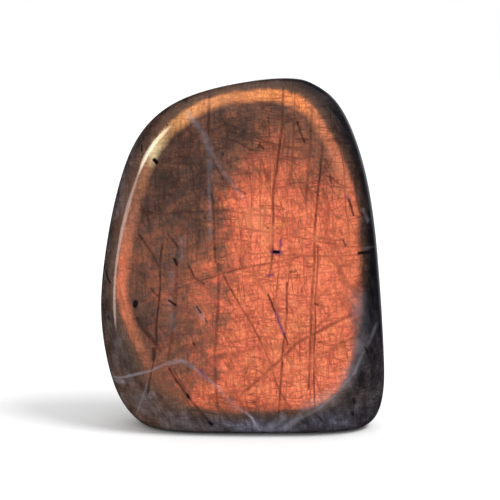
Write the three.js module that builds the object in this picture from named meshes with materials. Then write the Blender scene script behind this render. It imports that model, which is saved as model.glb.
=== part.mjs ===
import * as THREE from "three";

// A polished labradorite freeform: one natural stone, ground to a smooth upright slab with a broad
// front face, rounded shoulders, a softly facetted back and an underside cut flat so that it stands.
// Millimetres, +Z up. The front face looks along -Y, and +X is to the right of a viewer in front.
// The origin lies under the middle of the stone, in the plane of the cut underside.

// Overall size
const HEIGHT = 110;
const MIDDLE_X = 1;
const MIDDLE_Z = 52;

// Outline at the widest place, seen from the front, as [x, z] clockwise from the highest point.
// It runs on below the cut underside at z = 0, where the stone was sawn off.
const OUTLINE = [
  [16, HEIGHT],
  [22.6, 107.9],
  [29.8, 102.2],
  [36.4, 88],
  [40.6, 70],
  [43.1, 47],
  [44.6, 25],
  [44.8, 10],
  [41.4, 1.6],
  [31, -2],
  [12, -2.2],
  [-8, -2.8],
  [-24, -3],
  [-33.8, 1.2],
  [-40.2, 9.8],
  [-44, 24],
  [-45.2, 39],
  [-42.9, 58.5],
  [-38, 79.5],
  [-31.8, 93.2],
  [-21.5, 102.4],
  [-4, 108],
];

// Front and back halves: depth from the widest line to the crown at the foot of the stone, the share
// of it lost by the time the top is reached, and how much the face sinks from its middle to its rim
const FRONT = { facing: -1, depth: 19.5, taper: 0.16, dome: 0.07 };
const BACK = { facing: 1, depth: 21, taper: 0.34, dome: 0.16 };

// Roundness of the shoulder: a high power keeps the face flat nearly to its rim, a low one rolls it
// off early. The two lower corners are rolled off further than the sides.
const FRONT_POWER = 9;
const BACK_POWER = 5.5;
const FOOT_POWER_GAIN = 3;
const CORNERS = [
  { x: 44, z: 4, loss: 0.42, spread: 0.34 },
  { x: -38, z: 3, loss: 0.2, spread: 0.3 },
];
const FOOT_SPREAD = 0.5;

// The widest line sways a little to the front and back as it goes round
const SWAY = 1.4;
const SWAY_WAVES = 2;
const SWAY_TURN = 0.6;

// Flats left by the grinding wheel: the direction each one faces, how deep it bites into the rounded
// form, and how softly it runs out into it
const WHEEL_FLATS = [
  { facing: [0.74, -0.66, -0.1], bite: 1.7, softness: 1.8 },
  { facing: [-0.5, 0.82, 0.24], bite: 2.4, softness: 2.4 },
  { facing: [0.55, 0.8, 0.05], bite: 2.2, softness: 2.4 },
  { facing: [0.12, 0.93, -0.34], bite: 1.6, softness: 2.2 },
];

// The sawn underside and the eased edge around it
const UNDERSIDE_SOFTNESS = 0.8;

// Fineness of the surface
const SPOKES = 5 * OUTLINE.length;
const FACE_RINGS = 5;
const SHOULDER_RINGS = 11;
const SHOULDER_SPACING = 1.25;
const OUTLINE_SMOOTHING = 3;

// Finish
const BODY_COLOUR = 0x4a4442;
const BODY_ROUGHNESS = 0.12;

// Evens out the curvature between the outline's points by moving each one towards its neighbours
function smoothLoop(points) {
  const count = points.length;
  return points.map((point, index) => {
    const before = points[(index + count - 1) % count];
    const after = points[(index + 1) % count];
    return point.clone().multiplyScalar(2).add(before).add(after).divideScalar(4);
  });
}

// The outline as a loop of points, each with its spoke from the middle of the face. There are as many
// points between any two neighbours of the list above, so the tight corners get the closer ones.
function outlineSpokes() {
  const corners = OUTLINE.map(([x, z]) => new THREE.Vector3(x, 0, z));
  const curve = new THREE.CatmullRomCurve3(corners, true, "centripetal");
  let points = curve.getPoints(SPOKES).slice(0, SPOKES);
  for (let pass = 0; pass < OUTLINE_SMOOTHING; pass += 1) {
    points = smoothLoop(points);
  }
  return points.map((point) => {
    const x = point.x - MIDDLE_X;
    const z = point.z - MIDDLE_Z;
    return { x, z, angle: Math.atan2(z, x) };
  });
}

// 1 in the wanted direction, falling smoothly to 0 on both sides of it
function nearAngle(angle, wanted, spread) {
  const away = Math.atan2(Math.sin(angle - wanted), Math.cos(angle - wanted));
  return Math.exp(-((away / spread) ** 2));
}

// The power of the shoulder's curve along one spoke
function shoulderPower(half, spoke) {
  const base = half === FRONT ? FRONT_POWER : BACK_POWER;
  const foot = FOOT_POWER_GAIN * nearAngle(spoke.angle, -Math.PI / 2, FOOT_SPREAD);
  let loss = 0;
  for (const corner of CORNERS) {
    const wanted = Math.atan2(corner.z - MIDDLE_Z, corner.x - MIDDLE_X);
    loss += corner.loss * nearAngle(spoke.angle, wanted, corner.spread);
  }
  return (base + foot) * (1 - loss);
}

// A point of the rounded form on one spoke, where reach is 0 in the middle and 1 on the outline
function roundedPoint(half, spoke, reach) {
  const x = MIDDLE_X + reach * spoke.x;
  const z = MIDDLE_Z + reach * spoke.z;
  const roll = Math.sqrt(Math.max(0, 1 - reach ** shoulderPower(half, spoke)));
  const crown = roll * (1 - half.dome * reach ** 2);
  const depth = half.depth * (1 - (half.taper * z) / HEIGHT);
  const sway = SWAY * Math.sin(SWAY_WAVES * spoke.angle + SWAY_TURN) * reach ** 3;
  return new THREE.Vector3(x, half.facing * depth * crown + sway, z);
}

// How far along a spoke each ring lies: even steps over the face, closer ones round the shoulder
function ringReaches(half, spoke) {
  const power = shoulderPower(half, spoke);
  const shoulder = [];
  for (let ring = 1; ring <= SHOULDER_RINGS; ring += 1) {
    const turn = (Math.PI / 2) * (ring / SHOULDER_RINGS) ** SHOULDER_SPACING;
    shoulder.push(Math.sin(turn) ** (2 / power));
  }
  const face = [];
  for (let ring = 1; ring <= FACE_RINGS; ring += 1) {
    face.push((shoulder[0] * ring) / (FACE_RINGS + 1));
  }
  return [...face, ...shoulder];
}

// Moves a point back behind a plane, with a soft edge where the plane runs out into the form
function cutSoftly(point, normal, offset, softness) {
  const height = point.dot(normal) - offset;
  if (height <= -softness) {
    return;
  }
  const kept = height >= softness ? 0 : -((height - softness) ** 2) / (4 * softness);
  point.addScaledVector(normal, kept - height);
}

// Grinds the flats and saws the underside off
function shapePoints(points) {
  for (const flat of WHEEL_FLATS) {
    const normal = new THREE.Vector3(...flat.facing).normalize();
    const reach = Math.max(...points.map((point) => point.dot(normal)));
    for (const point of points) {
      cutSoftly(point, normal, reach - flat.bite, flat.softness);
    }
  }
  const down = new THREE.Vector3(0, 0, -1);
  for (const point of points) {
    cutSoftly(point, down, 0, UNDERSIDE_SOFTNESS);
  }
}

// The closed skin: a pole in the middle of each face, and rings of points that meet on the outline
function stoneGeometry() {
  const spokes = outlineSpokes();
  const frontRings = spokes.map((spoke) => ringReaches(FRONT, spoke));
  const backRings = spokes.map((spoke) => ringReaches(BACK, spoke));
  const ringCount = FACE_RINGS + SHOULDER_RINGS;
  const points = [roundedPoint(FRONT, spokes[0], 0)];
  for (let ring = 0; ring < ringCount; ring += 1) {
    spokes.forEach((spoke, index) => points.push(roundedPoint(FRONT, spoke, frontRings[index][ring])));
  }
  for (let ring = ringCount - 2; ring >= 0; ring -= 1) {
    spokes.forEach((spoke, index) => points.push(roundedPoint(BACK, spoke, backRings[index][ring])));
  }
  points.push(roundedPoint(BACK, spokes[0], 0));
  shapePoints(points);

  const bands = 2 * ringCount - 2;
  const lastPole = points.length - 1;
  const at = (ring, spoke) => 1 + ring * SPOKES + (spoke % SPOKES);
  const triangles = [];
  for (let spoke = 0; spoke < SPOKES; spoke += 1) {
    triangles.push(0, at(0, spoke + 1), at(0, spoke));
    for (let band = 0; band < bands; band += 1) {
      triangles.push(at(band, spoke), at(band + 1, spoke + 1), at(band + 1, spoke));
      triangles.push(at(band, spoke), at(band, spoke + 1), at(band + 1, spoke + 1));
    }
    triangles.push(lastPole, at(bands, spoke), at(bands, spoke + 1));
  }

  const geometry = new THREE.BufferGeometry();
  geometry.setFromPoints(points);
  geometry.setIndex(triangles);
  geometry.computeBoundingBox();
  const centre = geometry.boundingBox.getCenter(new THREE.Vector3());
  geometry.translate(-centre.x, -centre.y, 0);
  geometry.computeVertexNormals();
  return geometry;
}

const stoneMaterial = new THREE.MeshStandardMaterial({
  color: BODY_COLOUR,
  roughness: BODY_ROUGHNESS,
  metalness: 0,
});

const stone = new THREE.Mesh(stoneGeometry(), stoneMaterial);
stone.name = "labradorite_stone";

const labradorite = new THREE.Group();
labradorite.add(stone);

export default labradorite;
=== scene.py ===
"""A polished labradorite freeform, dressed and lit for a studio photograph.

The stone is one piece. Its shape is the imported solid, refined to a fine smooth skin. Its finish is
drawn in millimetres on that skin: a dark feldspar body, the copper flash zone of the front face,
twin lines, healed cracks and small inclusions.
"""
import logging
import math
from collections.abc import Iterable
from dataclasses import dataclass, field
from enum import Enum
from functools import reduce

import bmesh
import bpy
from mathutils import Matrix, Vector


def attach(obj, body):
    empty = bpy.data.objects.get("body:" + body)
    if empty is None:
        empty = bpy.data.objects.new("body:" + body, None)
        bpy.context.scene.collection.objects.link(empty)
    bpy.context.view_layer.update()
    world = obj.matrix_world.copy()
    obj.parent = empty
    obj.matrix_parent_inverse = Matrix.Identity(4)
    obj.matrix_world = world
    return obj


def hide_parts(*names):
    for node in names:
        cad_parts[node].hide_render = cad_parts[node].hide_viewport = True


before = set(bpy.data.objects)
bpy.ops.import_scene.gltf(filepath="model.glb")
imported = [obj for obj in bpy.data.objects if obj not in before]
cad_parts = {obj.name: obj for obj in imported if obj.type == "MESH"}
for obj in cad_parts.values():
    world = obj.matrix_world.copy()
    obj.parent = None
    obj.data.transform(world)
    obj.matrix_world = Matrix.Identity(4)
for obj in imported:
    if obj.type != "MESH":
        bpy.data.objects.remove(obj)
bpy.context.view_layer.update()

MM = 0.001

MATH = "ShaderNodeMath"
VECTOR_MATH = "ShaderNodeVectorMath"
MAP_RANGE = "ShaderNodeMapRange"
NOISE = "ShaderNodeTexNoise"
MAPPING = "ShaderNodeMapping"
MIX = "ShaderNodeMix"
RAMP = "ShaderNodeValToRGB"
CURVE = "ShaderNodeFloatCurve"
SEPARATE = "ShaderNodeSeparateXYZ"
PRINCIPLED = "ShaderNodeBsdfPrincipled"
BACKGROUND = "ShaderNodeBackground"

COVER = {"data_type": "RGBA"}
TINT = {"data_type": "RGBA", "blend_type": "MULTIPLY"}
SCALED = {"operation": "MULTIPLY_ADD"}
# Cycles works an eased range out in place, where a clamped one waits and fills its memory
EASED = {"interpolation_type": "SMOOTHSTEP", "clamp": False}

log = logging.getLogger("labradorite")

Place = tuple[float, float]
Colour = tuple[float, float, float, float]
Tree = bpy.types.NodeTree
Node = bpy.types.Node


def srgb(code: str) -> Colour:
    """Turns an sRGB colour into a linear one.

    Args:
        code: The colour as six hex digits.

    Returns:
        Linear red, green and blue, and an alpha of 1.
    """
    parts = [int(code[start : start + 2], 16) / 255 for start in (0, 2, 4)]
    linear = [part / 12.92 if part <= 0.04045 else ((part + 0.055) / 1.055) ** 2.4 for part in parts]
    return (linear[0], linear[1], linear[2], 1)


def add_node(tree: Tree, kind: str, inputs: dict | None = None, **settings) -> Node:
    """Adds a node to a tree, with its settings and links.

    Args:
        tree: The tree that gets the node.
        kind: The node's type.
        inputs: What each input gets, by its name or by its place among the inputs in use. A node
            stands for its first output in use.
        settings: The node's properties.

    Returns:
        The new node.
    """
    node = tree.nodes.new(kind)
    for name, value in settings.items():
        setattr(node, name, value)
    for key, value in (inputs or {}).items():
        live = [socket for socket in node.inputs if socket.enabled]
        socket = live[key] if isinstance(key, int) else next(s for s in live if s.name == key)
        if isinstance(value, bpy.types.Node):
            value = next(output for output in value.outputs if output.enabled)
        if isinstance(value, bpy.types.NodeSocket):
            tree.links.new(value, socket)
        else:
            socket.default_value = value
    return node


def emptied(owner: bpy.types.ID) -> Tree:
    """Returns the node tree of a material or a world, with nothing in it."""
    owner.use_nodes = True
    owner.node_tree.nodes.clear()
    return owner.node_tree


def placed(name: str, data: bpy.types.ID) -> bpy.types.Object:
    """Returns a new object that is in the scene."""
    thing = bpy.data.objects.new(name, data)
    bpy.context.scene.collection.objects.link(thing)
    return thing


def gather(tree: Tree, operation: str, levels: Iterable[Node]) -> Node:
    """Brings levels together with one operation, each as soon as it is made.

    Args:
        tree: The tree that gets the nodes.
        operation: What is done with each two.
        levels: The levels. When they are made one by one, Cycles needs little memory for them.

    Returns:
        The one level that is left.
    """
    return reduce(lambda one, other: add_node(tree, MATH, {0: one, 1: other}, operation=operation), levels)


def path_distance(tree: Tree, place: Node, path: tuple[Place, ...]) -> Node:
    """Measures how far a place is from a path of straight runs.

    Args:
        tree: The tree that gets the nodes.
        place: The place, with its y at 0.
        path: The places that the path runs through, as x and z.

    Returns:
        The distance.
    """

    def gaps() -> Iterable[Node]:
        """Gives the distance from each run."""
        for start, end in zip(path, path[1:]):
            run = Vector((end[0] - start[0], 0, end[1] - start[1]))
            away = add_node(tree, VECTOR_MATH, {0: place, 1: (start[0], 0, start[1])}, operation="SUBTRACT")
            share = run / run.length_squared
            along = add_node(tree, VECTOR_MATH, {0: away, 1: share}, operation="DOT_PRODUCT")
            held = add_node(tree, "ShaderNodeClamp", {0: along})
            step = add_node(tree, VECTOR_MATH, {0: run, "Scale": held}, operation="SCALE")
            yield add_node(tree, VECTOR_MATH, {0: away, 1: step}, operation="DISTANCE")

    return gather(tree, "MINIMUM", gaps())


@dataclass(frozen=True)
class Fade:
    """An eased change from one level to another.

    Attributes:
        start: The value where it starts.
        end: The value where it ends.
        low: The level at the start.
        high: The level at the end.
    """

    start: float = 0
    end: float = 1
    low: float = 0
    high: float = 1

    def over(self, value: Node) -> tuple[str, dict]:
        """Returns the kind and inputs of the node that gives the level for a value."""
        return MAP_RANGE, {0: value, 1: self.start, 2: self.end, 3: self.low, 4: self.high}


@dataclass(frozen=True)
class Clouds:
    """A cloudy noise.

    Attributes:
        scale: How many clouds there are to a millimetre, or to a fibre's width.
        detail: How many finer sizes of cloud it has.
        roughness: How strong the finer ones are.
    """

    scale: float = 1
    detail: float = 4
    roughness: float = 0.5

    def over(self, place: Node) -> tuple[str, dict]:
        """Returns the kind and inputs of the node that gives the noise for a place."""
        sizes = {"Scale": self.scale, "Detail": self.detail, "Roughness": self.roughness}
        return NOISE, {"Vector": place, **sizes}


@dataclass(frozen=True)
class Fibres:
    """A cloudy noise drawn out into leaning fibres, in millimetres.

    Attributes:
        lean: How far the fibres lean to the right of upright, in degrees.
        size: Their usual width, depth and length.
        clouds: The noise.
        swing: How far they take a level up and down, or how strongly threads show.
        seed: Moves the pattern, so that no two families of threads are alike.
        share: The share of the width that a thread takes up.
    """

    lean: float
    size: tuple[float, float, float]
    clouds: Clouds
    swing: float = 0
    seed: float = 0
    share: float = 0


class Mark(Enum):
    """What a mark inside the stone looks like."""

    TWIN = "a dark brown line where a twin plane meets the surface"
    CRACK = "a light grey healed crack"
    SPECK = "a black inclusion"
    GLINT = "a violet spot beside an inclusion"


@dataclass(frozen=True)
class Stroke:
    """A mark drawn along straight runs from place to place on the face, in millimetres.

    Attributes:
        path: The places that it runs through, as x and z.
        core: Half the width of its full-strength middle.
        fade: How far it takes to fade out beside the core.
        strength: How much of the mark's colour shows in its middle.
    """

    path: tuple[Place, ...]
    core: float
    fade: float
    strength: float

    def across(self) -> Fade:
        """Returns how strongly it shows over the distance from its path."""
        return Fade(self.core, self.core + self.fade, self.strength, 0)


def strokes(*rows: tuple) -> tuple[Stroke, ...]:
    """Returns the strokes for rows of core, fade, strength and then the path's places."""
    return tuple(Stroke(tuple(path), *width) for *width, path in ((*row[:3], row[3:]) for row in rows))


@dataclass(frozen=True)
class Pool:
    """A soft round patch that is lighter or darker than what is around it, in millimetres.

    Attributes:
        x: How far to the right its middle lies.
        z: How high its middle lies.
        across: How far it goes sideways from there.
        up: How far it goes up and down.
        gain: How much it adds in its middle.
    """

    x: float
    z: float
    across: float
    up: float
    gain: float


@dataclass(frozen=True)
class FlashZone:
    """Where the copper flash shows on the front face, in millimetres.

    Attributes:
        centre: The place that the outline's radii start from, as x and z.
        outline: Places on the zone's edge, clockwise from below the centre.
        near: The radius that counts as 0 on the radius curve.
        span: What the curve adds to that at 1.
        soft: How wide the fade at the edge is.
        blurs: Where it is wider.
        frays: The noise that the edge wanders with.
        fray: How far the edge wanders in and out.
        ring_in: How the bright ring of painted sheen inside the edge starts.
        ring_out: How it ends.
        height: The height that counts as 1 on the three curves below.
        divide: Where the dim left part meets the bright right part, as z and x.
        reach: How much of x the divide's curve covers, with 0 in its middle.
        divide_frays: The noise that the divide and both levels wander with.
        divide_fray: How far the divide wanders.
        level_fray: How far the levels wander.
        level_drop: What that wandering takes off them again.
        divide_soft: Half the width of the change from one part to the other.
        dim: How bright the left part is, as z and level.
        bright: How bright the right part is, as z and level.
    """

    centre: Place = (0, 56)
    outline: tuple[Place, ...] = (
        (2.9, 8.7), (-12, 9.4), (-18, 11), (-23, 14), (-28.5, 20.5), (-32, 26), (-34.4, 31.5), (-36.2, 36),
        (-37.8, 41), (-38.5, 46), (-37.9, 54), (-36.1, 64), (-33.1, 75), (-29.7, 85), (-25.2, 93),
        (-18.5, 99.4), (-8, 104.8), (2.1, 106.5), (8.7, 106.8), (14.8, 106.1), (20.3, 103.3), (23.9, 99),
        (28.5, 91.4), (32.6, 81.6), (35.3, 70.4), (35.8, 58), (35.8, 47), (34.5, 39.5), (34.1, 33),
        (34.3, 28), (32.4, 20.5), (29, 14.9), (25, 11.7), (19.2, 9.7), (12.2, 9),
    )
    near: float = 30
    span: float = 30
    soft: float = 2
    blurs: tuple[Pool, ...] = (
        Pool(-27, 13, 19, 15, 3.6), Pool(39, 50, 12, 45, 1.5), Pool(36, 36, 10, 15, 4.8),
    )
    frays: Clouds = Clouds(0.4, 3)
    fray: float = 1.3
    ring_in: Fade = Fade(-0.8, 1)
    ring_out: Fade = Fade(2.2, 5, 1, 0)
    height: float = 110
    divide: tuple[Place, ...] = (
        (0, -14), (14.5, -14), (19, -9), (28, -7), (36, -6), (42, -3), (48, -2), (54, -5), (62, -5),
        (70, -7), (76, -7), (82, -4), (88, 1), (96, 4), (110, 4),
    )
    reach: float = 100
    divide_frays: Clouds = Clouds(0.2, 4, 0.65)
    divide_fray: float = 20
    level_fray: float = 0.46
    level_drop: float = 0.22
    divide_soft: float = 7.5
    dim: tuple[Place, ...] = (
        (0, 0.15), (12, 0.22), (20, 0.42), (28, 0.36), (36, 0.34), (45, 0.38), (54, 0.35), (62, 0.31),
        (70, 0.17), (80, 0.14), (90, 0.16), (110, 0.2),
    )
    bright: tuple[Place, ...] = (
        (0, 0.5), (8, 0.6), (14, 0.86), (25, 0.86), (40, 0.87), (60, 0.89), (70, 0.86), (76, 0.76),
        (82, 0.59), (88, 0.46), (94, 0.33), (110, 0.3),
    )

    def turn(self, place: Place) -> float:
        """Returns how far round the centre a place lies, from 0 below it, past its right side."""
        return (0.5 - math.atan2(place[0] - self.centre[0], place[1] - self.centre[1]) / math.tau) % 1

    def radius(self, place: Place) -> float:
        """Returns a place's distance from the centre, on the radius curve's scale of 0 to 1."""
        return (math.dist(place, self.centre) - self.near) / self.span

    def radius_places(self) -> list[Place]:
        """Returns the zone's radius over the turn, closed below the centre."""
        places = sorted((self.turn(place), self.radius(place)) for place in self.outline)
        first, last = places[0], places[-1]
        share = first[0] / (first[0] + 1 - last[0])
        joint = first[1] + share * (last[1] - first[1])
        return [(0, joint), *places, (1, joint)]


# The marks on the face: each stroke's core, fade and strength, and then the places on its path
MARKS = {
    Mark.TWIN: strokes(
        (0.16, 0.55, 0.9, (12.7, 107), (12.5, 95.3), (11.4, 88.8), (9.9, 73.8), (9.8, 58), (8.9, 50.4)),
        (0.05, 0.45, 0.73, (12.7, 66.2), (12.2, 60.2), (11.1, 44.3)),
        (0.05, 0.45, 0.61, (16.3, 106), (16.1, 97.7), (15.4, 82.8), (14.7, 77.7)),
        (0.05, 0.4, 0.49, (15.5, 73.2), (15.6, 52.5)),
        (0.15, 0.7, 0.73, (21.4, 100.6), (20.9, 88.8), (20.4, 81.9), (19.7, 73.8)),
        (0.14, 0.55, 0.88, (24.9, 90.8), (24.2, 84.9), (22.8, 69.8), (22.3, 62), (22.1, 52),
         (21.4, 41), (21.3, 34), (21, 16)),
        (0.1, 0.4, 0.92, (23.3, 60), (23.1, 52), (22.6, 41), (22.7, 34), (22.4, 26), (22.9, 10.3)),
        (0.1, 0.6, 0.95, (14.3, 48.6), (13.8, 34.1), (12.9, 28.6), (12.4, 18.6), (11.7, 5.5)),
        (0.3, 0.8, 0.55, (24.9, 76.8), (26.7, 70.7), (25.8, 65.3), (27.6, 59.2), (30.7, 50), (33, 41),
         (35, 34)),
        (0.2, 0.6, 0.61, (28, 57.7), (30.8, 51.5), (34.9, 44.7), (37, 43.9)),
        (0.08, 0.55, 0.85, (-6, 52.8), (-1.6, 44.4), (3.9, 35), (8, 27), (10.6, 18.6), (13.2, 13),
         (15.5, 9.8)),
        (0.1, 0.5, 0.73, (-13.8, 48.7), (-4.7, 51.7), (3.4, 53.8), (12, 55.1), (18.1, 56.9), (35.7, 56.7)),
        (0.1, 0.6, 0.61, (-30.6, 70.5), (-24.4, 69.4), (-4.6, 70.7), (2.9, 69.5), (15.6, 68.3)),
        (0.1, 0.5, 0.67, (-16.8, 68.2), (0.4, 65.3), (18, 62.3), (31.7, 59.5), (34.8, 59.2)),
        (0.12, 0.85, 0.8, (34.3, 39.2), (25.8, 34.8), (17.2, 30.1), (12.1, 24.8), (6.5, 19.5), (0.8, 14.7)),
        (0.12, 0.8, 0.75, (36, 31.8), (31, 30.4), (25.8, 27.3), (22.2, 26)),
        (0.4, 1.4, 0.49, (-10.5, 24), (-6.8, 25.8), (-1.6, 26.7), (4.5, 28.5), (15.5, 29.2)),
        (0.1, 0.5, 0.55, (-4.7, 26.9), (5.4, 25.7), (9.7, 23.6)),
        (0.05, 0.5, 0.49, (14.5, 35.7), (32.8, 35)),
        (0.15, 0.7, 0.73, (-9.7, 104.4), (-9.4, 92.6), (-9.2, 81.3), (-8.3, 72.5), (-7.9, 63.1),
         (-7.7, 55)),
        (0.15, 0.7, 0.73, (-6.8, 54.3), (-6.6, 48), (-7.3, 32.4), (-7.8, 26), (-7.5, 16.8), (-6.9, 9.5)),
        (0.05, 0.5, 0.73, (-8, 92.8), (-1, 91.3), (3.4, 88.8), (9, 88.3)),
        (0.05, 0.5, 0.61, (-3, 84.7), (2.3, 87.2), (6.9, 88.8)),
        (0.1, 0.5, 0.92, (-23.8, 60.2), (-24.5, 46.4), (-25.3, 38.4), (-25.6, 29.3), (-28.7, 13.9)),
        (0.15, 0.6, 0.95, (-30.8, 62.8), (-27.3, 58), (-24.1, 52.6)),
        (0.1, 0.5, 0.85, (-27.4, 46.7), (-24.8, 44.1)),
        (0.1, 0.6, 0.85, (-22, 63), (-19.4, 60), (-18.6, 58.8)),
        (0.2, 0.9, 0.61, (-18.6, 58.8), (-19.3, 52), (-20.2, 35.1), (-21.8, 25.7)),
        (0.1, 0.5, 0.92, (-15.7, 53.9), (-13.8, 49.9), (-11.2, 48.1)),
        (0.25, 1, 0.8, (-31.5, 37), (-28.4, 32.6), (-24.5, 27.5)),
        (0.15, 0.6, 0.95, (-21.6, 21.9), (-19.6, 18.2), (-16.1, 12.9), (-12, 8.1), (-9, 3.6)),
        (0.05, 0.4, 0.73, (-20.4, 21.6), (-18.3, 17.9), (-16.5, 14.5)),
        (0.05, 0.4, 0.55, (-20.7, 46.3), (-13.8, 48.7), (-7.7, 51.1)),
        (0.05, 0.4, 0.6, (-13.5, 48.7), (-9.5, 46.3)),
        (0.05, 0.5, 0.6, (24, 36.5), (28.5, 37.6), (34.8, 38.4)),
        (0.1, 0.6, 0.6, (16, 31.6), (22, 34.2), (27.5, 38.8)),
        (0.05, 0.45, 0.65, (-1.5, 30.6), (5.5, 32.4), (11.5, 31.4)),
        (0.05, 0.4, 0.55, (13.6, 45.4), (20.5, 44.4), (33, 45.6)),
        (0.05, 0.4, 0.5, (-3, 36.8), (6, 38.2), (14, 36.6)),
        (0.05, 0.4, 0.5, (23.2, 20.4), (28.4, 19.2), (33.4, 20.6)),
        (0.05, 0.4, 0.55, (0.5, 16.5), (6.4, 17.2), (12, 19.6)),
    ),
    Mark.CRACK: strokes(
        (0.03, 0.6, 0.5, (-40.5, 16.6), (-34.2, 18.9), (-27.4, 21.1), (-22.3, 23.5)),
        (0.05, 1.1, 0.38, (-22.3, 23.5), (-19.2, 24.2), (-16.6, 23.9), (-14.4, 22.1)),
        (0.02, 0.9, 0.26, (-14.4, 22.1), (-9.5, 18.4), (-6.9, 16.4), (-4.5, 13.7), (-1.4, 10.2), (2, 8)),
        (0.05, 0.6, 0.8, (2, 8), (3.8, 6.3), (5, 3.4), (5.9, 1.8)),
        (0.05, 1.5, 0.36, (-42, 15.4), (-36.6, 16.6)),
        (0.03, 1.1, 0.2, (41.4, 34.5), (39.9, 30.9), (37.2, 27)),
        (0.03, 0.9, 0.4, (37.4, 27), (34.8, 20.8), (28.7, 13.8), (23.7, 9.4), (18.1, 6), (14.1, 3.2)),
        (0.1, 3.8, 0.25, (36.6, 31), (35, 24), (31.3, 17.3), (26.5, 12.8), (20.5, 9.5)),
        (0.1, 4, 0.2, (35.5, 44), (36.2, 35)), (0.05, 0.9, 0.2, (37.2, 70.2), (38.8, 66.6)),
        (0.05, 0.6, 0.1, (37, 58.3), (41, 58.2)),
        (0.03, 0.5, 0.28, (-28.8, 16.8), (-30.8, 11), (-33.1, 4.7)),
        (0.03, 0.4, 0.2, (-30, 14), (-32.2, 7)),
        (0.03, 1.7, 0.27, (-15.8, 99.3), (-12.7, 95.6), (-10.5, 92.6), (-9.3, 89)),
        (0.03, 1.5, 0.22, (-9.3, 89), (-9.2, 81)), (0.03, 1.1, 0.18, (-9.2, 81), (-9.2, 72.5), (-9.4, 62)),
        (0.02, 1, 0.18, (-9.3, 89), (-5.7, 82.8), (-2.7, 78.9), (0.8, 74.2)),
        (0.1, 1.7, 0.13, (-17.6, 61.5), (-17.9, 56)), (0.1, 1.5, 0.13, (-20.6, 51.5), (-20.9, 46.5)),
        (0.1, 1.4, 0.13, (-21.4, 43.5), (-20.2, 33.5)), (0.1, 2.4, 0.36, (9, 2.5), (13, 6.5)),
        (0.1, 1.9, 0.4, (12.5, 2), (18.5, 7)), (0.1, 1.2, 0.34, (-12.9, 40), (-11.2, 37.4)),
    ),
    Mark.SPECK: strokes(
        (0.45, 0.4, 1, (-26, 85.6), (-25.3, 84.9)), (0.15, 0.3, 0.9, (-30.3, 89.6), (-30.3, 88.2)),
        (0.4, 0.6, 0.95, (-32, 42.2), (-32.3, 41.3)), (0.12, 0.4, 0.9, (-21.7, 43.1), (-19.5, 41.6)),
        (0.1, 0.4, 0.75, (-13.3, 41), (-12.2, 39.4)), (0.05, 0.4, 0.6, (-10.8, 37.8), (-10.3, 36.5)),
        (0.15, 0.4, 0.85, (-19.9, 55.8), (-19, 53.9)), (0.1, 0.5, 0.7, (-14.3, 29.9), (-14.1, 29.3)),
        (0.2, 0.7, 0.6, (-26.6, 27.8), (-26.7, 24.6)),
        (0.1, 0.45, 0.9, (-43.4, 52.6), (-42.2, 50), (-40.4, 47.4)),
        (0.2, 0.5, 0.7, (-41.2, 36.7), (-41, 36.2)), (0.1, 0.35, 0.7, (-5.2, 87.6), (-5.2, 87.2)),
        (0.3, 0.6, 0.6, (-17.1, 103.2), (-16.8, 102.9)), (0.1, 0.35, 0.7, (-22.4, 96.1), (-22.2, 95.8)),
        (0.1, 0.4, 0.75, (5.4, 90.4), (6.9, 89.2)), (0.05, 0.4, 0.6, (5.3, 89.4), (5.9, 91)),
        (0.05, 0.4, 0.7, (17.1, 97.1), (17.9, 94.2), (19.1, 91.3)),
        (0.1, 0.4, 0.6, (26.7, 81.2), (27.3, 78.8)), (0.12, 0.5, 0.8, (32.5, 73.6), (34.1, 69)),
        (0.25, 0.35, 1, (10.1, 58), (11.6, 57.9)), (0.05, 0.4, 0.8, (8.6, 44.9), (10.5, 40.3)),
        (0.05, 0.35, 0.7, (13.3, 33.2), (14.5, 29.8)), (0.15, 0.3, 0.7, (8.3, 65.3), (8.5, 65.1)),
        (0.15, 0.6, 0.5, (12.6, 67.8), (12.8, 67)), (0.05, 0.35, 0.75, (31.1, 61.5), (32, 59.7)),
        (0.1, 0.5, 0.65, (22.7, 42.2), (23.6, 41.6)), (0.25, 0.4, 0.95, (35.8, 57.2), (39.6, 56.7)),
        (0.1, 0.5, 0.6, (15.1, 51.9), (16.9, 52.2)), (0.1, 0.35, 0.8, (37.9, 28.2), (38.8, 26.4)),
        (0.25, 0.6, 0.8, (34.6, 12), (35, 11)), (0.25, 0.45, 0.85, (34.4, 7.7), (34.7, 6.9)),
        (0.1, 0.4, 0.8, (24.2, 6.9), (25.1, 5.5)), (0.2, 0.4, 0.85, (-16.3, 13.5), (-15.8, 12.5)),
        (0.2, 0.4, 0.85, (-9.6, 4.9), (-8.9, 4)), (0.2, 0.9, 0.5, (-27, 6.4), (-25.8, 5.8)),
        (0.15, 0.8, 0.5, (-25.6, 13.6), (-24.4, 12.6)),
    ),
    Mark.GLINT: strokes(
        (0.15, 0.6, 0.6, (-12.4, 21.5), (-10.4, 19)), (0.1, 0.8, 0.4, (31.6, 74.9), (32.4, 73.9)),
        (0.35, 0.6, 0.75, (9.8, 57.9), (12.2, 57.8)), (0.15, 0.5, 0.7, (8.2, 50.8), (9.9, 51)),
        (0.12, 0.5, 0.8, (10.5, 40.3), (12.4, 35.1), (13.3, 33.2)),
        (0.1, 0.5, 0.7, (12.1, 61.4), (12.5, 59.9)),
    ),
}


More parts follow.
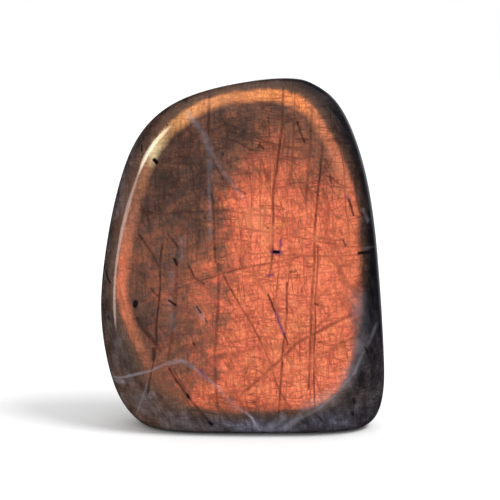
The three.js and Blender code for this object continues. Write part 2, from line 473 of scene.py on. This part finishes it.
@dataclass
class PolishedLabradorite:
    """Labradorite, a dark plagioclase feldspar, ground and polished to a wet gloss.

    It is nearly black and slightly see-through, and clouded with brown and grey. Thin layers inside
    it send light back as a copper flash from one zone of the front face. Straight twin planes, milky
    healed cracks and black inclusions cross it. All of this is colour under the polish.
    """

    name: str = "labradorite_polish"
    ior: float = 1.56
    roughness: float = 0.09
    # How the lines waver, as the size of each wave and how far it shifts them
    waves: tuple[Place, ...] = ((14, 0.5), (2.2, 0.2))
    ragged_waves: tuple[Place, ...] = ((1.2, 0.2),)
    # Over y: the flash shows on the front face only, and the marks mostly on the front half
    face: Fade = Fade(-6, -11)
    fore: Fade = Fade(3, -2)
    cracks_behind: Fade = Fade(low=0.3)
    # The marks' colours, and how noise fades them here and there
    line_tint: str = "867882"
    crack: str = "98949e"
    glint: str = "6e3a60"
    speck: str = "0c090c"
    line_clouds: Clouds = Clouds(0.16, 2)
    line_fades: Fade = Fade(0.36, 0.6, 0.65)
    crack_clouds: Clouds = Clouds(0.3, 2)
    crack_fades: Fade = Fade(0.36, 0.6, 0.5)
    # The fine threads, fainter in the flash's dim part
    hatches: tuple[Fibres, ...] = tuple(
        Fibres(lean, (spacing, 1, length), Clouds(detail=1.2), strength, seed, share)
        for lean, spacing, length, share, strength, seed in (
            (3, 2.6, 30, 0.036, 0.55, 3.1), (-5, 4.4, 44, 0.024, 0.7, 71.9), (85, 1.9, 13, 0.042, 0.6, 17.7),
            (97, 3.6, 26, 0.026, 0.72, 29.4), (89, 1.3, 7, 0.036, 0.36, 8.8), (-29, 3.2, 20, 0.03, 0.6, 41.3),
            (38, 4.6, 20, 0.022, 0.55, 12.6),
        )
    )
    clear: Fade = Fade(low=0.7)
    # The flash: its edge, soft patches, drifts of shade in the dim part, fibres, colours and haze
    flash: FlashZone = field(default_factory=FlashZone)
    edge: Fade = Fade(-0.5, 0.5)
    flash_pools: tuple[Pool, ...] = (
        Pool(-10, 46, 12, 20, 0.26), Pool(-17, 14, 8, 8, 0.14), Pool(-5, 12, 8, 8, -0.14),
        Pool(21, 78, 13, 10, -0.14), Pool(6, 70, 9, 14, 0.16), Pool(32, 62, 12, 34, -0.16),
        Pool(15, 64, 5, 9, -0.14), Pool(12, 86, 10, 12, 0.1), Pool(-30, 36, 9, 14, -0.14),
        Pool(-19, 55, 8, 8, -0.12), Pool(14, 40, 8, 16, 0.08), Pool(24, 12, 14, 8, 0.16),
        Pool(34, 43, 5, 9, -0.1), Pool(25, 87, 6, 8, -0.14), Pool(-14, 29, 5, 10, 0.13),
        Pool(-8, 36, 5, 8, -0.1), Pool(16, 56, 8, 5, -0.12), Pool(12, 61, 9, 5, 0.1),
        Pool(7, 67, 7, 5, 0.1), Pool(9, 92, 6, 6, 0.12), Pool(-5, 88, 5, 8, 0.12), Pool(-14, 71, 6, 8, 0.1),
        Pool(14, 26, 5, 5, 0.12), Pool(10, 15, 8, 5, 0.1),
    )
    drifts: Fibres = Fibres(58, (2.6, 6, 7), Clouds(roughness=0.6), 0.4)
    grain: tuple[Fibres, ...] = tuple(
        Fibres(lean, (width, max(width, 1), length), Clouds(detail=1.5, roughness=0.6), swing)
        for lean, width, length, swing in (
            (4, 0.6, 2.8, 0.06), (-31, 0.65, 2.4, 0.055), (79, 0.6, 3.4, 0.06), (0, 1.1, 1.1, 0.06),
        )
    )
    grain_range: Place = (0.32, 0.68)
    flash_lift: float = 0.3
    flash_ramp: tuple[tuple[float, str], ...] = (
        (0, "3a2924"), (0.14, "523a32"), (0.28, "6f4c3e"), (0.44, "8e5844"), (0.6, "b0634b"),
        (0.76, "cf6c4f"), (0.9, "e87856"), (1, "f08862"),
    )
    haze: str = "5c4c46"
    veil: Fade = Fade(0.58, 0.36, 0, 0.3)
    hues: Clouds = Clouds(0.25, 3, 0.65)
    hue_swing: float = 0.026
    hue_start: float = 0.4875
    # The bright ring's colours and strength over the turn, and how the grain shows in it. The ring is painted
    # sheen where the rounded shoulder catches the light; its pale stops near 0.6 are a painted highlight at
    # the top left.
    sheen_ring_colours: tuple[tuple[float, str, float], ...] = (
        (0.15, "d8795a", 0), (0.28, "d4764e", 0.5), (0.36, "c07054", 0.85), (0.42, "cc7c58", 0.9),
        (0.445, "fa9458", 1), (0.475, "fa9c5c", 1), (0.505, "d88858", 1), (0.54, "f0a068", 1),
        (0.568, "e8a062", 1), (0.583, "b48458", 1), (0.597, "e2c28e", 1), (0.612, "eed8a8", 1),
        (0.628, "b07858", 0.9), (0.67, "9c6650", 0.85), (0.71, "c07c60", 0.9), (0.755, "e8825e", 1),
        (0.83, "d07a5a", 1), (0.87, "a86c50", 0.9), (0.91, "8c5844", 0.7), (0.94, "84543f", 0),
    )
    ring_grain: float = 1.7
    ring_drop: float = 0.76
    # The body: its level over x, soft patches, leaning streaks, clouds and colours. The level over x is
    # painted light and shade: lighter on the left, where the light comes from, and near-black on the right.
    across: Fade = Fade(-45, 42, 0.54, 0.07)
    # The pools low at the foot, at the lower right corner and up the right rim are painted reflection of the
    # pale floor and the studio.
    body_pools: tuple[Pool, ...] = (
        Pool(4, 3, 36, 11, 0.5), Pool(-28, 10, 26, 20, 0.26), Pool(-38, 78, 13, 40, 0.16),
        Pool(30, 8, 18, 16, 0.54), Pool(43, 18, 9, 30, 0.3), Pool(33, 2, 12, 7, 0.16),
        Pool(34.5, 19, 7, 9, 0.2), Pool(39, 32, 6, 9, 0.13), Pool(-36, 18, 8, 9, 0.1),
        Pool(-23, 97, 7, 7, 0.08), Pool(8, 3, 24, 8, 0.12), Pool(-40, 27, 7, 14, 0.12),
        Pool(30, 100, 16, 14, 0.16), Pool(-6, 110, 26, 9, 0.16),
    )
    streaks: Fibres = Fibres(-28, (2.6, 4, 7), Clouds(roughness=0.6))
    streaky: Fade = Fade(0.3, 0.7, -0.12, 0.14)
    clouds: Clouds = Clouds(0.16, 5, 0.62)
    cloudy: Fade = Fade(0.3, 0.7, -0.12, 0.15)
    body_ramp: tuple[tuple[float, str], ...] = (
        (0, "0f0e10"), (0.2, "211e20"), (0.4, "3a3331"), (0.6, "544945"), (0.8, "6f6665"), (1, "938b8c"),
    )
    # Brown comes in clouds on the left. The foot and the far right take a bluish tint: painted reflection of
    # the pale floor at the foot, and a painted sheen on the right rim.
    brown: str = "e4ba9e"
    brown_clouds: Clouds = Clouds(0.07, 3)
    browned: Fade = Fade(0.4, 0.6, 0.25, 0.85)
    brown_over_x: Fade = Fade(-30, 44, 1, 0)
    cool_reflection: str = "c8d6f2"
    reflection_over_z: Fade = Fade(5, 14, 1, 0.35)
    reflection_over_x: Fade = Fade(-26, 20)
    reflection_power: float = 0.5
    reflection_on_right_rim: Fade = Fade(35, 42, 0, 0.75)
    # A faint brown glow lies round the flash, weaker on the right
    halo: str = "7a5a48"
    halo_in: Fade = Fade(-4.2, 0, 0, 0.7)
    halo_over_x: Fade = Fade(40, 4, 0.5)

    def build(self) -> bpy.types.Material:
        """Builds the finish.

        Returns:
            The stone's material.
        """
        material = bpy.data.materials.new(self.name)
        self.tree = emptied(material)
        where = self.add("ShaderNodeTexCoord").outputs["Object"]
        self.place = self.add(VECTOR_MATH, {0: where, "Scale": 1 / MM}, operation="SCALE")
        self.parts = self.add(SEPARATE, {0: self.place}).outputs
        self.flat = self.shaken(self.waves)
        ragged = self.shaken(self.waves + self.ragged_waves)
        face = self.add(*self.face.over(self.parts["Y"]), **EASED)
        level, side = self.domains()
        clear = self.add(*self.clear.over(side), **EASED)
        threads = self.product(self.threads(), clear)
        twins = self.drawn(self.flat, Mark.TWIN)
        cracks, specks, glints = (self.drawn(ragged, mark) for mark in (Mark.CRACK, Mark.SPECK, Mark.GLINT))
        patchy = self.clouded(self.line_clouds, self.line_fades)
        lines = self.product(self.joined("MAXIMUM", twins, threads), patchy)

        inside = self.inside()
        fore = self.add(*self.fore.over(self.parts["Y"]), **EASED)
        body = self.body(inside, fore)
        glow = self.flash_colours(inside, level, side)
        spread = self.pooled(self.flat, self.flash.soft, self.flash.blurs)
        share = self.joined("DIVIDE", inside, spread)
        edge = self.product(self.add(*self.edge.over(share), **EASED), face)
        colour = self.add(MIX, {0: edge, 1: body, 2: glow}, **COVER)
        colour = self.add(MIX, {0: lines, 1: colour, 2: srgb(self.line_tint)}, **TINT)
        breaks = self.clouded(self.crack_clouds, self.crack_fades)
        behind = self.add(*self.cracks_behind.over(fore), **EASED)
        cracks = self.product(cracks, breaks, behind)
        colour = self.add(MIX, {0: cracks, 1: colour, 2: srgb(self.crack)}, **COVER)
        colour = self.add(MIX, {0: self.product(glints, fore), 1: colour, 2: srgb(self.glint)}, **COVER)
        colour = self.add(MIX, {0: self.product(specks, fore), 1: colour, 2: srgb(self.speck)}, **COVER)
        polish = {"Base Color": colour, "Roughness": self.roughness, "IOR": self.ior}
        self.add("ShaderNodeOutputMaterial", {"Surface": self.add(PRINCIPLED, polish)})
        return material

    def add(self, kind: str, inputs: dict | None = None, **settings) -> Node:
        """Returns a node that is added to the finish's own tree."""
        return add_node(self.tree, kind, inputs, **settings)

    def joined(self, operation: str, *levels: Node | float) -> Node:
        """Returns levels brought together with one operation."""
        return gather(self.tree, operation, levels)

    def product(self, *levels: Node) -> Node:
        """Returns levels multiplied with each other."""
        return self.joined("MULTIPLY", *levels)

    def clouded(self, clouds: Clouds, fade: Fade) -> Node:
        """Returns a level that comes and goes in clouds."""
        return self.add(*fade.over(self.add(*clouds.over(self.place))), **EASED)

    def drawn_out(self, place: Node, fibres: Fibres) -> Node:
        """Draws a noise out into fibres.

        Args:
            place: The place, in millimetres.
            fibres: How the fibres run.

        Returns:
            The noise.
        """
        turned = {"Rotation": (0, math.radians(fibres.lean), 0), "Scale": fibres.size}
        turned |= {"Vector": place, "Location": (fibres.seed,) * 3}
        return self.add(*fibres.clouds.over(self.add(MAPPING, turned, vector_type="TEXTURE")))

    def shaken(self, waves: tuple[Place, ...]) -> Node:
        """Makes the place that the lines are drawn at waver, as a natural line does.

        Args:
            waves: The size of each wave and how far it shifts the place, in millimetres.

        Returns:
            The wavering place, flattened front to back: the planes run square through the stone.
        """
        moved = self.place
        for size, shift in waves:
            noise = self.add(*Clouds(1 / size, 1).over(self.place)).outputs["Color"]
            moved = self.add(VECTOR_MATH, {0: noise, 1: (2 * shift,) * 3, 2: moved}, **SCALED)
        middle = -sum(shift for size, shift in waves)
        flat = {0: moved, 1: (1, 0, 1), 2: (middle, 0, middle)}
        return self.add(VECTOR_MATH, flat, **SCALED)

    def drawn(self, place: Node, mark: Mark) -> Node:
        """Draws every stroke of one kind, each as the distance from its straight runs.

        Args:
            place: The flattened place, in millimetres.
            mark: The kind of mark to draw.

        Returns:
            How strongly that kind of mark shows, from 0 to 1.
        """
        traces = (
            self.add(*stroke.across().over(path_distance(self.tree, place, stroke.path)), **EASED)
            for stroke in MARKS[mark]
        )
        return gather(self.tree, "MAXIMUM", traces)

    def threads(self) -> Node:
        """Draws the families of fine threads, as the level lines of drawn-out noise.

        Returns:
            How strongly the threads show, from 0 to 1.
        """

        def traces() -> Iterable[Node]:
            """Gives how strongly each family shows."""
            for hatch in self.hatches:
                level = self.joined("SUBTRACT", self.drawn_out(self.flat, hatch), 0.5)
                level = self.add(MATH, {0: level}, operation="ABSOLUTE")
                yield self.add(*Fade(0, hatch.share, hatch.swing, 0).over(level), **EASED)

        return gather(self.tree, "MAXIMUM", traces())

    def pooled(self, place: Node, base: Node | float, pools: tuple[Pool, ...]) -> Node:
        """Adds soft round patches to a level.

        Args:
            place: The place, in millimetres.
            base: The level that the patches add to.
            pools: The patches.

        Returns:
            The level with the patches.
        """
        level = base
        for pool in pools:
            shrink = (1 / pool.across, 0, 1 / pool.up)
            centre = (-pool.x / pool.across, 0, -pool.z / pool.up)
            away = self.add(VECTOR_MATH, {0: place, 1: shrink, 2: centre}, **SCALED)
            far = self.add(VECTOR_MATH, {0: away}, operation="LENGTH")
            lift = self.add(*Fade(low=pool.gain, high=0).over(far), **EASED)
            level = self.joined("ADD", level, lift)
        return level

    def body(self, inside: Node, fore: Node) -> Node:
        """Colours the stone where nothing flashes: near-black to brown and grey, in clouds, with painted
        light on the left, painted shade on the right and painted reflection at the foot and the right rim.

        Args:
            inside: How far inside the flash zone's edge a place is, in millimetres.
            fore: 1 on the front half, 0 on the back.

        Returns:
            The body's colour.
        """
        x, z = self.parts["X"], self.parts["Z"]
        # Painted light and shade: the level falls from the left to the right. The pools at the foot and the
        # right rim are painted reflection.
        level = self.pooled(self.place, self.add(*self.across.over(x), **EASED), self.body_pools)
        lift = self.add(*self.streaky.over(self.drawn_out(self.place, self.streaks)), **EASED)
        level = self.joined("ADD", level, lift)
        level = self.joined("ADD", level, self.clouded(self.clouds, self.cloudy))
        ramp = self.ramp(level, self.body_ramp)
        brown = self.clouded(self.brown_clouds, self.browned)
        # The bluish tint low down and on the far right is painted reflection.
        warm, low, right, far = (
            self.add(*fade.over(value), **EASED)
            for fade, value in (
                (self.brown_over_x, x), (self.reflection_over_z, z), (self.reflection_over_x, x), (self.reflection_on_right_rim, x),
            )
        )
        right = self.joined("POWER", right, self.reflection_power)
        low = self.product(low, right)
        high = self.joined("SUBTRACT", 1, low)
        earthy = self.add(MIX, {0: self.product(brown, warm, high), 1: ramp, 2: srgb(self.brown)}, **TINT)
        low = self.joined("MAXIMUM", low, far)
        cool_reflection = self.add(MIX, {0: low, 1: earthy, 2: srgb(self.cool_reflection)}, **TINT)
        near = self.add(*self.halo_in.over(inside), **EASED)
        left = self.add(*self.halo_over_x.over(x), **EASED)
        return self.add(MIX, {0: self.product(near, left, fore), 1: cool_reflection, 2: srgb(self.halo)}, **COVER)

    def centred(self) -> Node:
        """Returns the flattened place, seen from the flash zone's centre."""
        centre = (self.flash.centre[0], 0, self.flash.centre[1])
        return self.add(VECTOR_MATH, {0: self.flat, 1: centre}, operation="SUBTRACT")

    def turned(self) -> Node:
        """Finds how far round the flash zone's centre a place lies.

        Returns:
            The turn, from 0 below the centre, past its right side, to 1.
        """
        offsets = self.add(SEPARATE, {0: self.centred()}).outputs
        turn = self.add(MATH, {0: offsets["X"], 1: offsets["Z"]}, operation="ARCTAN2")
        return self.add(MATH, {0: turn, 1: -1 / math.tau, 2: 0.5}, **SCALED)

    def inside(self) -> Node:
        """Measures from the edge of the flash zone.

        Returns:
            How far inside the edge a place is, in millimetres.
        """
        zone = self.flash
        far = self.add(VECTOR_MATH, {0: self.centred()}, operation="LENGTH")
        radius = self.curve(self.turned(), zone.radius_places())
        limit = self.add(MATH, {0: radius, 1: zone.span, 2: zone.near}, **SCALED)
        inside = self.joined("SUBTRACT", limit, far)
        wander = self.joined("SUBTRACT", self.add(*zone.frays.over(self.place)), 0.5)
        return self.add(MATH, {0: wander, 1: zone.fray, 2: inside}, **SCALED)

    def domains(self) -> tuple[Node, Node]:
        """Gives the dim left part and the bright right part of the flash their levels.

        Returns:
            The level, and how far over to the bright part a place is, both from 0 to 1.
        """
        zone = self.flash
        frays = self.add(*zone.divide_frays.over(self.place))
        flat = self.add(SEPARATE, {0: self.flat}).outputs
        height = self.add(MATH, {0: flat["Z"], 1: 1 / zone.height}, operation="MULTIPLY")
        divide, dim, bright = (
            self.curve(height, [(z / zone.height, value / scale + start) for z, value in course])
            for course, scale, start in (
                (zone.divide, zone.reach, 0.5), (zone.dim, 1, 0), (zone.bright, 1, 0),
            )
        )
        divide = self.add(MATH, {0: divide, 1: -zone.reach, 2: zone.reach / 2}, **SCALED)
        divide = self.add(MATH, {0: frays, 1: zone.divide_fray, 2: divide}, **SCALED)
        past = self.joined("ADD", flat["X"], divide)
        middle = zone.divide_fray / 2
        change = Fade(middle - zone.divide_soft, middle + zone.divide_soft)
        side = self.add(*change.over(past), **EASED)
        gain = self.joined("SUBTRACT", bright, dim)
        level = self.add(MATH, {0: gain, 1: side, 2: dim}, **SCALED)
        level = self.joined("SUBTRACT", level, zone.level_drop)
        return self.add(MATH, {0: frays, 1: zone.level_fray, 2: level}, **SCALED), side

    def flash_colours(self, inside: Node, level: Node, side: Node) -> Node:
        """Colours the flash zone, with a ring of painted sheen and highlight inside its edge.

        Args:
            inside: How far inside the zone's edge a place is, in millimetres.
            level: How bright the flash is.
            side: How far over to the bright part a place is.

        Returns:
            The zone's colour.
        """
        level = self.pooled(self.flat, level, self.flash_pools)
        drifts = self.drawn_out(self.place, self.drifts)
        dimmed = self.joined("SUBTRACT", 1, side)
        sway = self.product(self.joined("SUBTRACT", drifts, 0.5), dimmed)
        level = self.add(MATH, {0: sway, 1: self.drifts.swing, 2: level}, **SCALED)
        shade = self.fibred()
        level = self.joined("ADD", level, self.flash_lift)
        level = self.add(MATH, {0: level, 1: shade, 2: -self.flash_lift}, **SCALED)
        veil = self.product(self.add(*self.veil.over(drifts), **EASED), dimmed)
        colour = self.add(MIX, {0: veil, 1: self.ramp(level, self.flash_ramp), 2: srgb(self.haze)}, **COVER)
        hues = self.add(*self.hues.over(self.place))
        hue = self.add(MATH, {0: hues, 1: self.hue_swing, 2: self.hue_start}, **SCALED)
        colour = self.add("ShaderNodeHueSaturation", {"Hue": hue, "Color": colour})
        # A ring of painted sheen inside the edge, where the shoulder catches the light, with a painted
        # highlight at the top left.
        rise = self.add(*self.flash.ring_in.over(inside), **EASED)
        fall = self.add(*self.flash.ring_out.over(inside), **EASED)
        ring = self.ramp(self.turned(), self.sheen_ring_colours)
        shade = self.add(MATH, {0: shade, 1: self.ring_grain, 2: -self.ring_drop}, **SCALED)
        band = self.product(rise, fall, ring.outputs["Alpha"], shade)
        return self.add(MIX, {0: band, 1: colour, 2: ring}, **COVER)

    def fibred(self) -> Node:
        """Breaks the flash up into fine fibres, as the thin layers' edges do.

        Returns:
            What to multiply the level by.
        """
        shades = []
        for fibres in self.grain:
            fade = Fade(*self.grain_range, 1 - fibres.swing, 1 + fibres.swing)
            shades.append(self.add(*fade.over(self.drawn_out(self.place, fibres)), **EASED))
        return self.product(*shades)

    def curve(self, value: Node, places: list[Place]) -> Node:
        """Draws a curve through places.

        Args:
            value: What the curve is read at.
            places: Its places, from 0 to 1 both ways, in order.

        Returns:
            The curve's level.
        """
        curve = self.add(CURVE, {"Value": value})
        points = curve.mapping.curves[0].points
        points[0].location = places[0]
        points[1].location = places[-1]
        for place in places[1:-1]:
            points.new(*place)
        curve.mapping.update()
        return curve

    def ramp(self, value: Node, stops: tuple[tuple, ...]) -> Node:
        """Colours a level.

        Args:
            value: The level.
            stops: Each stop's position, sRGB colour and, where it has one, alpha.

        Returns:
            The colour ramp.
        """
        ramp = self.add(RAMP, {0: value})
        elements = ramp.color_ramp.elements
        while len(elements) > 1:
            elements.remove(elements[-1])
        for index, (position, code, *alpha) in enumerate(stops):
            element = elements[0] if index == 0 else elements.new(position)
            element.position = position
            element.color = (*srgb(code)[:3], alpha[0] if alpha else 1)
        return ramp


@dataclass
class Stone:
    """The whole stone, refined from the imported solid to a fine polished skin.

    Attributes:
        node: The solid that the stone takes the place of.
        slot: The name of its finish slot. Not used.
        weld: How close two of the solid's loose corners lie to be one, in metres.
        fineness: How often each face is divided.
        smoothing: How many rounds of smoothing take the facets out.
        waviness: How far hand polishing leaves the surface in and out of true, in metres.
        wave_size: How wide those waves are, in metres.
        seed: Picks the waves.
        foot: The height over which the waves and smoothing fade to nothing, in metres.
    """

    node: str = "labradorite_stone"
    slot: str = "polished_labradorite"
    weld: float = 0.01 * MM
    fineness: int = 2
    smoothing: int = 4
    waviness: float = 0.05 * MM
    wave_size: float = 14 * MM
    seed: float = 4.0
    foot: float = 3 * MM

    def build(self, finish: bpy.types.Material) -> bpy.types.Object:
        """Makes the stone and puts it in the solid's place.

        Args:
            finish: The material that it wears.

        Returns:
            The finished piece.
        """
        rough = placed("stone", self.welded_mesh())
        modifier = rough.modifiers.new("skin", "NODES")
        tree, sockets = self.skin_tree(finish)
        modifier.node_group = tree
        for name in sockets:
            modifier[sockets[name]] = getattr(self, name.lower().replace(" ", "_"))
        bpy.context.view_layer.update()
        evaluated = rough.evaluated_get(bpy.context.evaluated_depsgraph_get())
        skin = bpy.data.meshes.new_from_object(evaluated)
        rough.modifiers.remove(modifier)
        rough.data = skin
        rough.name = "polished_stone"
        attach(rough, "root")
        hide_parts(self.node)
        return rough

    def welded_mesh(self) -> bpy.types.Mesh:
        """Copies the solid's mesh, joins its loose triangles and pairs them up.

        Returns:
            One closed mesh, mostly of four-sided faces.
        """
        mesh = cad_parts[self.node].data.copy()
        mesh.name = "stone_skin"
        shape = bmesh.new()
        shape.from_mesh(mesh)
        bmesh.ops.remove_doubles(shape, verts=shape.verts, dist=self.weld)
        flat, skewed = math.radians(25), math.radians(60)
        bmesh.ops.join_triangles(
            shape, faces=shape.faces, angle_face_threshold=flat, angle_shape_threshold=skewed
        )
        shape.to_mesh(mesh)
        shape.free()
        mesh.materials.clear()
        return mesh

    def skin_tree(self, finish: bpy.types.Material) -> tuple[Tree, dict[str, str]]:
        """Builds the tree that turns the welded mesh into the polished skin.

        Args:
            finish: The material that the skin wears.

        Returns:
            The tree, and each size input's identifier by its name.
        """
        tree = bpy.data.node_groups.new("Polished skin", "GeometryNodeTree")
        for way in ("INPUT", "OUTPUT"):
            tree.interface.new_socket("Geometry", in_out=way, socket_type="NodeSocketGeometry")
        sockets = {}
        kinds = dict.fromkeys(("Fineness", "Smoothing"), "NodeSocketInt")
        kinds |= dict.fromkeys(("Waviness", "Wave size", "Seed", "Foot"), "NodeSocketFloat")
        for name, kind in kinds.items():
            sockets[name] = tree.interface.new_socket(name, in_out="INPUT", socket_type=kind).identifier
        given = add_node(tree, "NodeGroupInput").outputs

        levels = {"Mesh": given["Geometry"], "Level": given["Fineness"]}
        fine = add_node(tree, "GeometryNodeSubdivisionSurface", levels)
        position = add_node(tree, "GeometryNodeInputPosition")
        height = add_node(tree, SEPARATE, {0: position}).outputs["Z"]
        free = add_node(tree, MAP_RANGE, {0: height, "From Max": given["Foot"]}, **EASED)
        rounds = {"Value": position, "Iterations": given["Smoothing"], "Weight": free}
        even = add_node(tree, "GeometryNodeBlurAttribute", rounds, data_type="FLOAT_VECTOR")
        smooth = add_node(tree, "GeometryNodeSetPosition", {"Geometry": fine, "Position": even})
        size = add_node(tree, MATH, {0: 1, 1: given["Wave size"]}, operation="DIVIDE")
        sizes = {"Vector": position, "W": given["Seed"], "Scale": size, "Detail": 1}
        waves = add_node(tree, NOISE, sizes, noise_dimensions="4D")
        swing = add_node(tree, MATH, {0: waves, 1: 0.5}, operation="SUBTRACT")
        swing = gather(tree, "MULTIPLY", (swing, given["Waviness"], free))
        normal = add_node(tree, "GeometryNodeInputNormal")
        shift = add_node(tree, VECTOR_MATH, {0: normal, "Scale": swing}, operation="SCALE")
        wavy = add_node(tree, "GeometryNodeSetPosition", {"Geometry": smooth, "Offset": shift})
        shaded = add_node(tree, "GeometryNodeSetShadeSmooth", {"Geometry": wavy})
        real = add_node(tree, "GeometryNodeRealizeInstances", {"Geometry": shaded})
        dressed = add_node(tree, "GeometryNodeSetMaterial", {"Geometry": real, "Material": finish})
        add_node(tree, "NodeGroupOutput", {"Geometry": dressed})
        return tree, sockets


@dataclass(frozen=True)
class Card:
    """A soft patch of the studio that only shows in the polish.

    Attributes:
        path: The places that its middle runs through, as azimuth and elevation in degrees. Azimuth 0
            is straight in front of the face, and 90 is to its right.
        half_width: Half its width, in degrees.
        soft: How wide its faded border is, in degrees.
        colour: Its colour.
        glow: How bright it is.
    """

    path: tuple[Place, ...]
    half_width: float
    soft: float
    colour: str
    glow: float


@dataclass
class Studio:
    """A plain white studio: a pale floor, one soft lamp and a pale surround.

    Attributes:
        floor_size: The floor's width, in metres.
        floor_colour: The floor's paint.
        surround: How much light the surround gives, with white as 1.
        lamp_aim: The direction that the lamp stands in, seen from the stone.
        lamp_power: The lamp's strength.
        lamp_spread: How wide the lamp looks from the stone, in degrees.
        cards: What the polish mirrors.
        gloom: The colour that the polish mirrors between the cards.
        target: The place that the camera looks at, in metres.
        azimuth: How far the camera stands to the right of straight in front, in degrees.
        elevation: How far above level it looks down from, in degrees.
        distance: How far it stands from its target, in metres.
        lens: Its focal length, in millimetres.
    """

    floor_size: float = 12
    floor_colour: str = "fdfdfd"
    surround: float = 0.82
    lamp_aim: tuple[float, float, float] = (0.56, -0.25, 0.8)
    lamp_power: float = 1.85
    lamp_spread: float = 24
    gloom: str = "262226"
    cards: tuple[Card, ...] = (
        Card(
            ((-80, -11), (-83, -7), (-86, -1), (-80, 3), (-71, 8), (-66, 18), (-61, 30)),
            2.2, 3.2, "ffe2d8", 5.6,
        ),
        Card(((-67, 23), (-61, 38)), 4, 7, "fff0d4", 12),
        Card(((-180, 62), (180, 62)), 16, 18, "fff4f0", 0.16),
        Card(((164, 2), (180, 2)), 2, 20, "c0c2c6", 0.62),
        Card(((-180, 2), (-174, 2)), 2, 14, "c0c2c6", 0.55),
    )
    target: tuple[float, float, float] = (2.3 * MM, 0.08 * MM, 56.1 * MM)
    azimuth: float = 2
    elevation: float = 8
    distance: float = 437 * MM
    lens: float = 100

    def build(self) -> None:
        """Lays the floor, hangs the lights and places the camera."""
        self.lay_floor()
        self.light_surround()
        self.hang_lamp()
        self.place_camera()
        bpy.context.scene.view_settings.view_transform = "Standard"

    def lay_floor(self) -> None:
        """Lays a plain matt floor that stays out of the polish."""
        shape = bmesh.new()
        bmesh.ops.create_grid(shape, x_segments=1, y_segments=1, size=self.floor_size / 2)
        mesh = bpy.data.meshes.new("floor")
        shape.to_mesh(mesh)
        shape.free()
        paint = bpy.data.materials.new("matt_white_paint")
        tree = emptied(paint)
        matt = {"Base Color": srgb(self.floor_colour), "Roughness": 1, "Specular IOR Level": 0}
        add_node(tree, "ShaderNodeOutputMaterial", {"Surface": add_node(tree, PRINCIPLED, matt)})
        mesh.materials.append(paint)
        floor = placed("floor", mesh)
        floor.visible_glossy = False

    def light_surround(self) -> None:
        """Makes the surround: white to the camera, pale to the floor and the stone, cards in the polish."""
        world = bpy.data.worlds.new("white_studio")
        bpy.context.scene.world = world
        tree = emptied(world)
        toward = add_node(tree, "ShaderNodeTexCoord").outputs["Generated"]
        parts = add_node(tree, SEPARATE, {0: toward}).outputs
        back = add_node(tree, MATH, {0: parts["Y"], 1: -1}, operation="MULTIPLY")
        azimuth = add_node(tree, MATH, {0: parts["X"], 1: back}, operation="ARCTAN2")
        elevation = add_node(tree, MATH, {0: parts["Z"]}, operation="ARCSINE")
        toward = add_node(tree, "ShaderNodeCombineXYZ", {"X": azimuth, "Z": elevation})
        toward = add_node(tree, VECTOR_MATH, {0: toward, "Scale": math.degrees(1)}, operation="SCALE")
        mirrored = None
        for card in self.cards:
            fade = Fade(card.half_width, card.half_width + card.soft, 1, 0)
            cover = add_node(tree, *fade.over(path_distance(tree, toward, card.path)), **EASED)
            glow = tuple(part * card.glow for part in srgb(card.colour)[:3])
            shine = add_node(tree, VECTOR_MATH, {0: glow, "Scale": cover}, operation="SCALE")
            if mirrored is None:
                mirrored = srgb(self.gloom)[:3]
            mirrored = add_node(tree, VECTOR_MATH, {0: mirrored, 1: shine}, operation="ADD")
        rays = add_node(tree, "ShaderNodeLightPath").outputs
        pale = add_node(tree, BACKGROUND, {"Color": srgb("ffffff"), "Strength": self.surround})
        white = add_node(tree, BACKGROUND, {"Color": srgb("ffffff"), "Strength": 1})
        polish = add_node(tree, BACKGROUND, {"Color": mirrored, "Strength": 1})
        seen = add_node(tree, "ShaderNodeMixShader", {0: rays["Is Camera Ray"], 1: pale, 2: white})
        seen = add_node(tree, "ShaderNodeMixShader", {0: rays["Is Glossy Ray"], 1: seen, 2: polish})
        add_node(tree, "ShaderNodeOutputWorld", {"Surface": seen})

    def hang_lamp(self) -> None:
        """Hangs the one soft lamp that casts the shadow. It stays out of the polish."""
        lamp = bpy.data.lights.new("soft_lamp", "SUN")
        lamp.energy = self.lamp_power
        lamp.angle = math.radians(self.lamp_spread)
        hung = placed("soft_lamp", lamp)
        hung.rotation_mode = "QUATERNION"
        hung.rotation_quaternion = Vector(self.lamp_aim).to_track_quat("Z", "Y")
        hung.visible_glossy = False

    def place_camera(self) -> None:
        """Places the camera at the photograph's viewing angle."""
        turn, tilt = math.radians(self.azimuth), math.radians(self.elevation)
        back = Vector((math.sin(turn) * math.cos(tilt), -math.cos(turn) * math.cos(tilt), math.sin(tilt)))
        camera = placed("camera", bpy.data.cameras.new("camera"))
        camera.data.lens = self.lens
        camera.data.sensor_width = 36
        camera.data.clip_start = 10 * MM
        camera.location = Vector(self.target) + back * self.distance
        camera.rotation_mode = "QUATERNION"
        camera.rotation_quaternion = back.to_track_quat("Z", "Y")
        bpy.context.scene.camera = camera


def main() -> None:
    """Builds the stone and its studio."""
    logging.basicConfig(level=logging.INFO, format="%(message)s")
    stone = Stone().build(PolishedLabradorite().build())
    log.info("%s: %d faces", stone.name, len(stone.data.polygons))
    Studio().build()
    log.info("studio ready")


if __name__ == "__main__":
    main()
